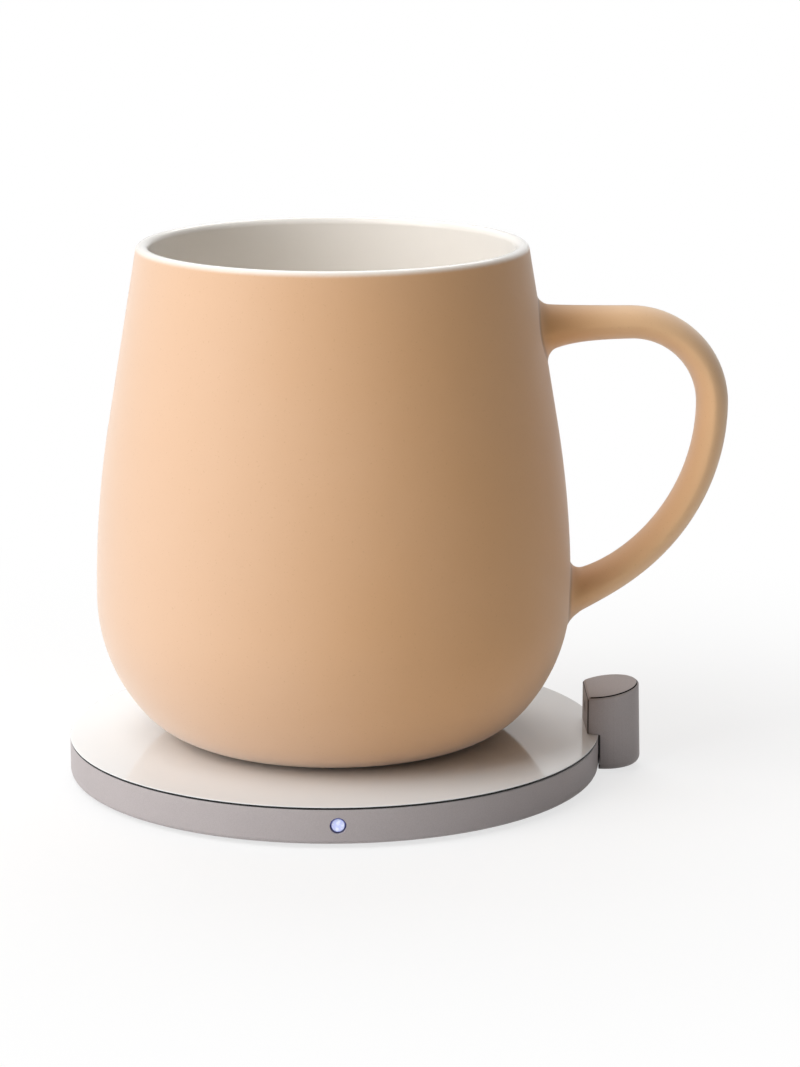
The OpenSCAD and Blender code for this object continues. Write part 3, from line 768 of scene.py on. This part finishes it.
def mug_profile():
    """From the axis at the recess, down and out round the base, up to the lip and down inside."""
    low = FLOOR_ROUND + Z_INSIDE
    x = HEEL_X + math.sqrt((HEEL_R - WALL - FLOOR_ROUND) ** 2 - (low - BELLY_Z) ** 2)
    a = math.atan2(low - BELLY_Z, x - HEEL_X)
    start = -math.asin(1 - FOOT_LIFT / TOE_R)
    outside = arc(TOE_X, TOE_R, TOE_R, start, -HEEL, 16)
    outside += arc(HEEL_X, BELLY_Z, HEEL_R, -HEEL, 0, 20)
    outside += arc(BELLY_R - UPPER_R, BELLY_Z, UPPER_R, 0, LEAN, 16)
    lip = arc(LIP_X, LIP_Z, LIP_R, LEAN, math.pi + LEAN - TAPER, 28)
    inside = arc(x, low, FLOOR_ROUND, -QUARTER, a, 10)
    inside += arc(HEEL_X, BELLY_Z, HEEL_R - WALL, a, 0, 16)
    inside += arc(BELLY_R - UPPER_R, BELLY_Z, UPPER_R - WALL, 0, LEAN, 16)
    inside.reverse()
    base = [(0, RECESS_TOP), (RECESS_R, RECESS_TOP), (RECESS_R, FOOT_LIFT + FOOT_BREAK),
            (RECESS_R + FOOT_BREAK, FOOT_LIFT)]
    base += [(outside[0][0] - inset, FOOT_LIFT + rise) for inset, rise in TOE_START]
    floor = [(inside[-1][0] * i / 4, Z_INSIDE) for i in (3, 2, 1, 0)]
    # The wall's points stand closer just under the lip
    wall = between(outside[-1], lip[0], 12)
    wall += between(wall[-1], lip[0], 8)
    loop = base + outside[1:] + wall + lip + between(lip[-1], inside[0], 12) + inside + floor
    return [(r, z + Z_TOP) for r, z in loop]


def lining(co):
    """1 on the white glaze inside, fading out over the lip, 0 on the peach glaze."""
    r, z = math.hypot(co.x, co.y), co.z - Z_TOP
    if r > LIP_X and z > LIP_Z - LIP_ZONE:
        return min(max((z - LIP_Z + GLAZE_BELOW) / LIP_R, 0), 1) * GLAZE_THIN
    if z > LIP_Z:
        return 1.0
    if z < Z_INSIDE - 0.01:
        return 0.0
    return 1.0 if r < body_radius(z) - INNER_DEPTH else 0.0


def bow_end():
    """Angle of the lower bow where its middle line meets the body."""
    low, high = BOW_SEARCH
    for _ in range(BOW_HALVINGS):
        t = (low + high) / 2
        x = REACH - BOW_R + BOW_R * math.cos(t)
        z = HANDLE_TOP - SHOULDER_R - BOW_R * math.sin(t)
        low, high = (t, high) if x > body_radius(z) else (low, t)
    return t


RUN = REACH - SHOULDER_R - body_radius(HANDLE_TOP)
BEND = SHOULDER_R * QUARTER
BOW = BOW_R * bow_end()
LENGTH = RUN + BEND + BOW


def along(s):
    """Point and heading of the handle's middle line at a length from the upper root."""
    if s < RUN:
        return body_radius(HANDLE_TOP) + s, HANDLE_TOP, 0.0
    if s < RUN + BEND:
        r, t = SHOULDER_R, QUARTER - (s - RUN) / SHOULDER_R
    else:
        r, t = BOW_R, -(s - RUN - BEND) / BOW_R
    return REACH - r + r * math.cos(t), HANDLE_TOP - SHOULDER_R + r * math.sin(t), t - QUARTER


def skin(s, column):
    """Point of the handle's skin at a length along the handle, and the direction out of it.

    The section is an almond with a soft ridge on each side, and it grows towards both roots.
    """
    upper = math.exp(-max(s, 0) / FLARE_FADE)
    lower = FLARE_LOWER * math.exp(-max(LENGTH - s, 0) / FLARE_FADE)
    grow = FLARE * (upper + lower)
    half_t, half_w = HANDLE_T / 2 + grow, HANDLE_W / 2 + FLARE_SIDE * grow
    x, z, turn = along(s)
    t = 2 * math.pi * column / COLUMNS
    rise = math.copysign(abs(math.sin(t)) ** RIDGE, math.sin(t)) * half_t
    sag = FLARE * (SAG_LOWER * lower + SAG_UPPER * upper)
    up = Vector((-math.sin(turn), 0, math.cos(turn)))
    out = up * (math.sin(t) * half_w)
    out.y = math.cos(t) * half_t * max(RIDGE * abs(math.sin(t)) ** (RIDGE - 1), RIDGE_LEAST)
    return Vector((x, math.cos(t) * half_w, z)) + up * (rise - sag), out.normalized()


def clearance(p):
    """Distance of a point from the mug's outer face, and that face's direction."""
    r = math.hypot(p.x, p.y)
    lean = (body_radius(p.z + LEAN_STEP) - body_radius(p.z - LEAN_STEP)) / (2 * LEAN_STEP)
    face = Vector((p.x / r, p.y / r, -lean)).normalized()
    return (r - body_radius(p.z)) / math.hypot(1, lean), face


def meet(column, gap, upper):
    """Length along the handle at which a column of its skin stands a gap off the body, at a root."""
    inner, outer = UPPER_SEARCH if upper else [LENGTH + reach for reach in LOWER_SEARCH]
    for _ in range(ROOT_HALVINGS):
        s = (inner + outer) / 2
        inner, outer = (s, outer) if clearance(skin(s, column)[0])[0] < gap else (inner, s)
    return s


def rounded_root(column, step, upper):
    """Point of a root's round: step 0 leaves the handle, ROOT_STEPS is on the body, more sinks in."""
    t = QUARTER * min(step, ROOT_STEPS) / ROOT_STEPS
    size = ROOT_ROUND[0 if upper else 1]
    gap, spread = size * (1 - math.sin(t)), size * (1 - math.cos(t))
    sink = ROOT_SKIN + ROOT_SINK * max(step - ROOT_STEPS, 0)
    p, out = skin(meet(column, gap, upper), column)
    face = clearance(p)[1]
    out = out - face * out.dot(face)
    p = p + out.normalized() * spread
    off, face = clearance(p)
    return p + face * (gap - sink * min(step, 1) - off)


def handle_point(ring, column):
    """Place of a ring of the handle: the upper root's round, the shaft, the lower root's round."""
    lower_root = HANDLE_RINGS - 1 - ROOT_STEPS
    if ring <= ROOT_STEPS:
        p = rounded_root(column, ROOT_STEPS + 1 - ring, True)
    elif ring >= lower_root:
        p = rounded_root(column, ring - lower_root + 1, False)
    else:
        start, end = ENDS[column]
        p = skin(start + (end - start) * (ring - ROOT_STEPS - 1) / SHAFT_STEPS, column)[0]
    return p + Vector((0, 0, Z_TOP))


def crease_shade(co):
    """1 where the handle's root runs out on the body, the crease that is painted darker as shade, 0
    elsewhere.
    """
    return 1.0 if clearance(co - Vector((0, 0, Z_TOP)))[0] < CREASE_W else 0.0


def nowhere(co):
    """0 all over a piece."""
    return 0.0


ENDS = [(meet(c, ROOT_ROUND[0], True), meet(c, ROOT_ROUND[1], False)) for c in range(COLUMNS)]

mug = lathe("mug_body", mug_profile(), MUG_STEPS, degrees=40)
handle = drawn("mug_handle", COLUMNS, HANDLE_RINGS, handle_point, degrees=50)
mark(mug, "lining", lining)
mark(mug, "crease_shade", nowhere)
mark(handle, "lining", nowhere)
mark(handle, "crease_shade", crease_shade)
finish(mug, GLAZE, "mug", "ceramic_peach", "mug_shell")
finish(handle, GLAZE, "mug", "ceramic_peach", "handle")

# Pad

band = lathe("pad_band", [(BAND_IN, Z_FLOOR), (COVER_R, Z_FLOOR), (COVER_R, Z_BAND),
                          (BAND_FOOT, Z_BAND)]
             + arc(PAD_R - BAND_ROUND, Z_BAND + BAND_ROUND, BAND_ROUND, -QUARTER, 0, 8)
             + [(PAD_R, z) for z in BAND_LEVELS]
             + arc(PAD_R - BAND_EASE, Z_EDGE - BAND_EASE, BAND_EASE, 0, QUARTER, 4)
             + [(BAND_IN, Z_EDGE), (BAND_IN, Z_FLOOR)], PAD_STEPS)
carve(band, bar("button_hole", BUTTON_R + BUTTON_PLAY, HOLE_L, (0, HOLE_IN - PAD_R, Z_BUTTON),
                (QUARTER, 0, 0)))
carve(band, stadium("socket_hole", SOCKET_W + SOCKET_PLAY, SOCKET_H + SOCKET_PLAY, HOLE_L,
                    (0, PAD_R - HOLE_IN, Z_SOCKET)))
smooth(band)
finish(band, METAL, "pad", "pad_metal", "pad_housing")

plate = lathe("pad_plate", [(0, Z_UNDER), (PLATE_IN, Z_UNDER), (PLATE_IN, Z_RIM),
                            (PAD_R - RIM_EASE, Z_RIM), (PAD_R, Z_RIM + RIM_EASE)]
              + arc(PAD_R - PLATE_ROUND, Z_TOP - PLATE_ROUND, PLATE_ROUND, 0, QUARTER, 6)
              + [(r, Z_TOP) for r in PLATE_RINGS], PAD_STEPS)
finish(plate, PLATE, "pad", "plate_white", "top_plate")

gasket = lathe("pad_seam", [(BAND_IN, Z_EDGE), (SEAM_R, Z_EDGE), (SEAM_R, Z_RIM), (BAND_IN, Z_RIM),
                            (BAND_IN, Z_EDGE)], PAD_STEPS)
finish(gasket, SEAM, "pad", "seam_black", "seam_gasket")

# Underside of the pad

cover_in, cover_out = FOOT_R + COVER_PLAY, COVER_R - COVER_PLAY
cover = lathe("pad_cover", [(0, FOOT_T), (cover_in, FOOT_T), (cover_in, Z_BAND + FOOT_EDGE),
                            (cover_in + FOOT_EDGE, Z_BAND), (cover_out - COVER_EASE, Z_BAND),
                            (cover_out, Z_BAND + COVER_EASE), (cover_out, Z_FLOOR), (0, Z_FLOOR)],
              COVER_STEPS)
foot = lathe("pad_foot", [(0, 0), (FOOT_R - FOOT_EASE, 0)]
             + arc(FOOT_R - FOOT_EASE, FOOT_EASE, FOOT_EASE, -QUARTER, 0, 5)
             + [(FOOT_R, FOOT_T), (0, FOOT_T)], COVER_STEPS)


def screw_place(turn, height):
    """A place on the ring of screws, at a turn in degrees."""
    t = math.radians(turn)
    return SCREW_RING * math.cos(t), SCREW_RING * math.sin(t), height


hole_r = SCREW_D / 2 + SCREW_PLAY
for turn in SCREW_TURNS:
    carve(cover, bar("countersink", SCREW_D + SCREW_PLAY, SINK_H,
                     screw_place(turn, Z_BAND + SINK_H / 2 - SINK_BELOW),
                     sides=SCREW_STEPS, top=hole_r))
    carve(cover, bar("screw_hole", hole_r, SCREW_HOLE_L, screw_place(turn, Z_BAND),
                     sides=SCREW_STEPS))
smooth(cover)
head = lathe("screw_head", [(0, Z_HEAD), (0.93 * SCREW_D, Z_HEAD),
                            (0.95 * SCREW_D, Z_HEAD + HEAD_EASE),
                            (SCREW_D / 2, Z_BAND + SCREW_D / 2), (SCREW_D / 2, Z_FLOOR + SCREW_L),
                            (0, Z_FLOOR + SCREW_L + SCREW_TIP)], SCREW_STEPS)
for turn in (0, QUARTER):
    slot = ease(block("cross_slot", (-SLOT_W / 2, -SLOT_L / 2, Z_BAND - SLOT_BELOW),
                      (SLOT_W / 2, SLOT_L / 2, Z_BAND + SLOT_T)), SLOT_EASE)
    carve(head, stand(slot, ORIGIN, (0, 0, turn)))
smooth(head)
first = SCREW_TURNS[0]
heads = [stand(head, screw_place(first, 0), (0, 0, math.radians(first + SCREW_TWIST)))]
heads += [copied(head, "screw_head", math.radians(turn - first)) for turn in SCREW_TURNS[1:]]
screws = joined("cover_screw_set", heads)
finish(cover, SHELL, "pad", "cover_dark", "bottom_cover")
finish(foot, SILICONE, "pad", "silicone_grey", "foot_pad")
finish(screws, STEEL, "pad", "steel", "cover_screws")

# Power socket

y_back = Y_SOCKET - SOCKET_L
y_tongue = y_back + SOCKET_BACK
shell = stadium("socket_shell", SOCKET_W, SOCKET_H, SOCKET_L,
                (0, y_back + SOCKET_L / 2, Z_SOCKET))
carve(shell, stadium("socket_room", SOCKET_W - 2 * SOCKET_SKIN, SOCKET_H - 2 * SOCKET_SKIN, SOCKET_L,
                     (0, y_tongue + SOCKET_L / 2, Z_SOCKET)))
ease(shell, SOCKET_EASE)
finish(shell, STEEL, "pad", "steel", "usb_socket")
tongue = ease(block("socket_tongue", (-TONGUE_W / 2, y_tongue, Z_SOCKET - TONGUE_T / 2),
                    (TONGUE_W / 2, y_tongue + TONGUE_L, Z_SOCKET + TONGUE_T / 2)), TONGUE_EASE)
finish(tongue, CONTACTS, "pad", "chip_black", "usb_tongue")

# Button

cap = lathe("button_dome", [(0, BUTTON_BACK), (BUTTON_R + FLANGE, BUTTON_BACK),
                            (BUTTON_R + FLANGE, BUTTON_BACK + FLANGE),
                            (BUTTON_R, BUTTON_BACK + FLANGE)]
            + dome(BUTTON_R, BUTTON_FRONT - BUTTON_DOME, BUTTON_DOME, 8), BUTTON_STEPS)
cap = stand(cap, (0, 0, Z_BUTTON), (QUARTER, 0, 0))
finish(cap, BUTTON, "button", "button_light", "button_cap")

# Post

def post_outline(radius, face, column):
    """Point of the post's plan from its axis: a round cut by a flat, with eased corners."""
    cx = POST_CORNER - face
    cy = math.sqrt((radius - POST_CORNER) ** 2 - cx * cx)
    far = math.atan2(cy, cx)
    if column < FLAT_COLUMNS:
        return -face, cy - 2 * cy * column / FLAT_COLUMNS
    column -= FLAT_COLUMNS
    if column < CORNER_COLUMNS:
        t = math.pi + (math.pi - far) * column / CORNER_COLUMNS
        return cx + POST_CORNER * math.cos(t), -cy + POST_CORNER * math.sin(t)
    column -= CORNER_COLUMNS
    if column < ROUND_COLUMNS:
        t = -far + 2 * far * column / ROUND_COLUMNS
        return radius * math.cos(t), radius * math.sin(t)
    t = far + (math.pi - far) * (column - ROUND_COLUMNS) / CORNER_COLUMNS
    return cx + POST_CORNER * math.cos(t), cy + POST_CORNER * math.sin(t)


def post_radius(z):
    """Radius of the post at a height, with its draft."""
    foot_top = Z_BAND + POST_ROUND
    return POST_R - (POST_R - POST_TOP_R) * (z - foot_top) / (Z_POST - foot_top)


def post_roof(x, y):
    """Height of the post's sloping top at a place from its axis."""
    return Z_POST + SLOPE * (x * math.cos(SLOPE_TURN) + y * math.sin(SLOPE_TURN))


def post_point(ring, column):
    """Place of a ring of the post: the round at its foot, its drafted side, its top's eased edge."""
    if ring <= FOOT_RING:
        t = QUARTER * ring / FOOT_RING
        x, y = post_outline(POST_R - POST_ROUND * (1 - math.sin(t)), POST_FACE, column)
        return POST_X + x, y, Z_BAND + POST_ROUND * (1 - math.cos(t))
    inset, drop = POST_EDGE[max(ring - EDGE_RING, 0)]
    low, z = POST_LEVELS[-1], Z_POST
    for _ in range(SLOPE_ROUNDS):
        x, y = post_outline(post_radius(z) - inset, POST_FACE - inset, column)
        if ring <= LEVEL_RING:
            z = POST_LEVELS[ring - FOOT_RING - 1]
        else:
            share = min((ring - LEVEL_RING) / UPPER_RINGS, 1)
            z = low + (post_roof(x, y) - drop - low) * share
    return POST_X + x, y, z


def gap_shade_and_top_line(co):
    """1 in the gap beside the band, where shade is painted, and on the dark line painted below the
    post's top, 0 elsewhere.
    """
    x, y = co.x - POST_X, co.y
    back = x + POST_FACE
    drop = post_roof(x, y) - co.z
    if co.z < Z_GAP:
        return 1.0 if PAD_R < math.hypot(co.x, co.y) < PAD_R + GAP_W else 0.0
    if drop < LINE_HIGH:
        return 0.0
    if drop > LINE_LOW:
        return 1.0 if LINE_FLAT[0] < back < LINE_FLAT[1] else 0.0
    inset = post_radius(co.z) - math.hypot(x, y)
    return 1.0 if LINE_INSET[0] < inset < LINE_INSET[1] and back > LINE_START else 0.0


post = drawn("post_turret", POST_COLUMNS, POST_RINGS, post_point)
carve(post, bar("pad_round", PAD_R + POST_GAP, CUTTER_L, (0, 0, Z_CUT - CUTTER_L / 2),
                sides=CUTTER_STEPS))
room = bar("post_room", POST_TOP_R - POST_WALL, CUTTER_L, (POST_X, 0, Z_ROOF - CUTTER_L / 2),
           sides=ROOM_STEPS)
carve(room, bar("inner_wall", PAD_R + POST_GAP + POST_WALL, 3 * CUTTER_L, ORIGIN,
                sides=CUTTER_STEPS))
carve(post, room)
carve(post, bar("window_hole", WINDOW_R + WINDOW_PLAY, HOLE_L, (FACE_X + HOLE_IN, 0, Z_WINDOW),
                (0, QUARTER, 0)))
smooth(post)
mark(post, "gap_shade_and_top_line", gap_shade_and_top_line)
finish(post, METAL, "pad", "pad_metal", "post_shell")

window = lathe("post_window", [(0, 0), (WINDOW_R, 0)] + dome(WINDOW_R, WINDOW_T, WINDOW_DOME, 6),
               WINDOW_STEPS)
window = stand(window, (FACE_X + WINDOW_BACK, 0, Z_WINDOW), (0, -QUARTER, 0))
finish(window, WINDOW, "pad", "window_dark", "sensor_window")

# Underside of the mug

groove_in, groove_out = RING_IN - RING_PLAY, RING_OUT + RING_PLAY
base = lathe("mug_base_disc", [(r, z + Z_TOP) for r, z in (
    (0, FOOT_LIFT), (groove_in, FOOT_LIFT), (groove_in, RING_TOP), (groove_out, RING_TOP),
    (groove_out, FOOT_LIFT), (BASE_R - BASE_EASE, FOOT_LIFT), (BASE_R, FOOT_LIFT + BASE_EASE),
    (BASE_R, SEAL_LOW), (BASE_R - SEAL_DEPTH, SEAL_LOW), (BASE_R - SEAL_DEPTH, SEAL_HIGH),
    (BASE_R, SEAL_HIGH), (BASE_R, FOOT_LIFT + BASE_T), (0, FOOT_LIFT + BASE_T))], BASE_STEPS)
finish(base, BASE, "mug", "base_white", "mug_base")
z_ring, z_round = Z_TOP + RING_TOP, Z_TOP + RING_ROUND
ring = lathe("mug_foot_ring", [(RING_IN, z_ring)]
             + arc(RING_IN + RING_ROUND, z_round, RING_ROUND, 2 * QUARTER, 3 * QUARTER, 5)
             + arc(RING_OUT - RING_ROUND, z_round, RING_ROUND, 3 * QUARTER, 4 * QUARTER, 5)
             + [(RING_OUT, z_ring), (RING_IN, z_ring)], BASE_STEPS)
finish(ring, SILICONE, "mug", "silicone_grey", "mug_foot")

# CAD nodes that stay

for node, material in {
    "coil_carrier": SHELL, "pad_ferrite": FERRITE, "pad_coil": COPPER, "control_board": BOARD,
    "driver_chip": CHIP, "resonant_capacitors": TAN, "power_inductor": FERRITE,
    "plate_thermistor": CREAM, "switch_body": CHIP, "status_led": BUTTON, "ribbon_connector": CREAM,
    "board_screws": STEEL, "switch_plunger": CREAM, "post_base": SHELL, "sensor_board": BOARD,
    "presence_sensor": STEEL, "sensor_ribbon": AMBER, "post_screws": STEEL,
    "heat_spreader": SPREADER, "heater_film": AMBER, "insulation_pad": FELT,
    "receiver_board": BOARD, "receiver_chips": CHIP, "thermal_fuse": STEEL,
    "mug_thermistor": CREAM, "receiver_ferrite": FERRITE, "receiver_coil": COPPER,
    "base_seal": SEAM,
}.items():
    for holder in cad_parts[node].material_slots:
        holder.material = material

# Floor: white to the eye, with the object's shadow close around it

bpy.ops.object.select_all(action="DESELECT")
bpy.ops.mesh.primitive_plane_add(size=FLOOR_SIZE)
floor = added("floor")
ground = Finish("pale_floor", Roughness=0.9, Specular_IOR_Level=0.0)
seen = ground.ray("Camera").larger(ground.ray("Glossy"))
paper = ground.blend(ground.noise(12, 3.0), grey(0.93), grey(0.96))
ground.set("Base Color", ground.blend(seen, grey(0.97), paper))
x, y, _ = ground.axes()
away = ground.ramp((x * x + y * y).root(), SHADOW_NEAR, SHADOW_FAR)
share = (SHADOW_WHITE + away * (1 - SHADOW_WHITE)) * seen
white = ground.add("ShaderNodeEmission", None, {"Color": grey(1), "Strength": 1.0})
mixed = ground.add("ShaderNodeMixShader", None, {
    0: share, 1: Wire(ground, ground.shader.outputs[0]), 2: white})
ground.put(ground.tree.nodes["Material Output"], "Surface", mixed)
floor.data.materials.append(ground.material)


def lamp(name, turn, rise, watts):
    """A soft square light, at degrees left of the camera's side and degrees above the table."""
    turn, rise = math.radians(turn), math.radians(rise)
    place = LAMP_AIM + LAMP_AWAY * Vector((
        -math.sin(turn) * math.cos(rise), -math.cos(turn) * math.cos(rise), math.sin(rise)))
    bpy.ops.object.light_add(type="AREA", location=place)
    light = added(name)
    light.rotation_euler = (LAMP_AIM - place).to_track_quat("-Z", "Y").to_euler()
    light.data.shape, light.data.size = "SQUARE", LAMP_SIZE
    light.data.energy = watts


for setting in LAMPS:
    lamp(*setting)

# Background: white to the eye, a faint fill on the object

world = bpy.data.worlds[0] if bpy.data.worlds else bpy.data.worlds.new("studio")
scene.world = world
world.use_nodes = True
sky = Nodes(world.node_tree)
sky.tree.nodes.clear()
seen = sky.ray("Camera").larger(sky.ray("Transmission")).larger(sky.ray("Glossy"))
level = sky.add("ShaderNodeMapRange", None, {"Value": seen, "To Min": SKY_FILL, "To Max": 1.0})
glow = sky.add("ShaderNodeBackground", None, {"Color": grey(1), "Strength": level})
sky.put(sky.tree.nodes.new("ShaderNodeOutputWorld"), "Surface", glow)
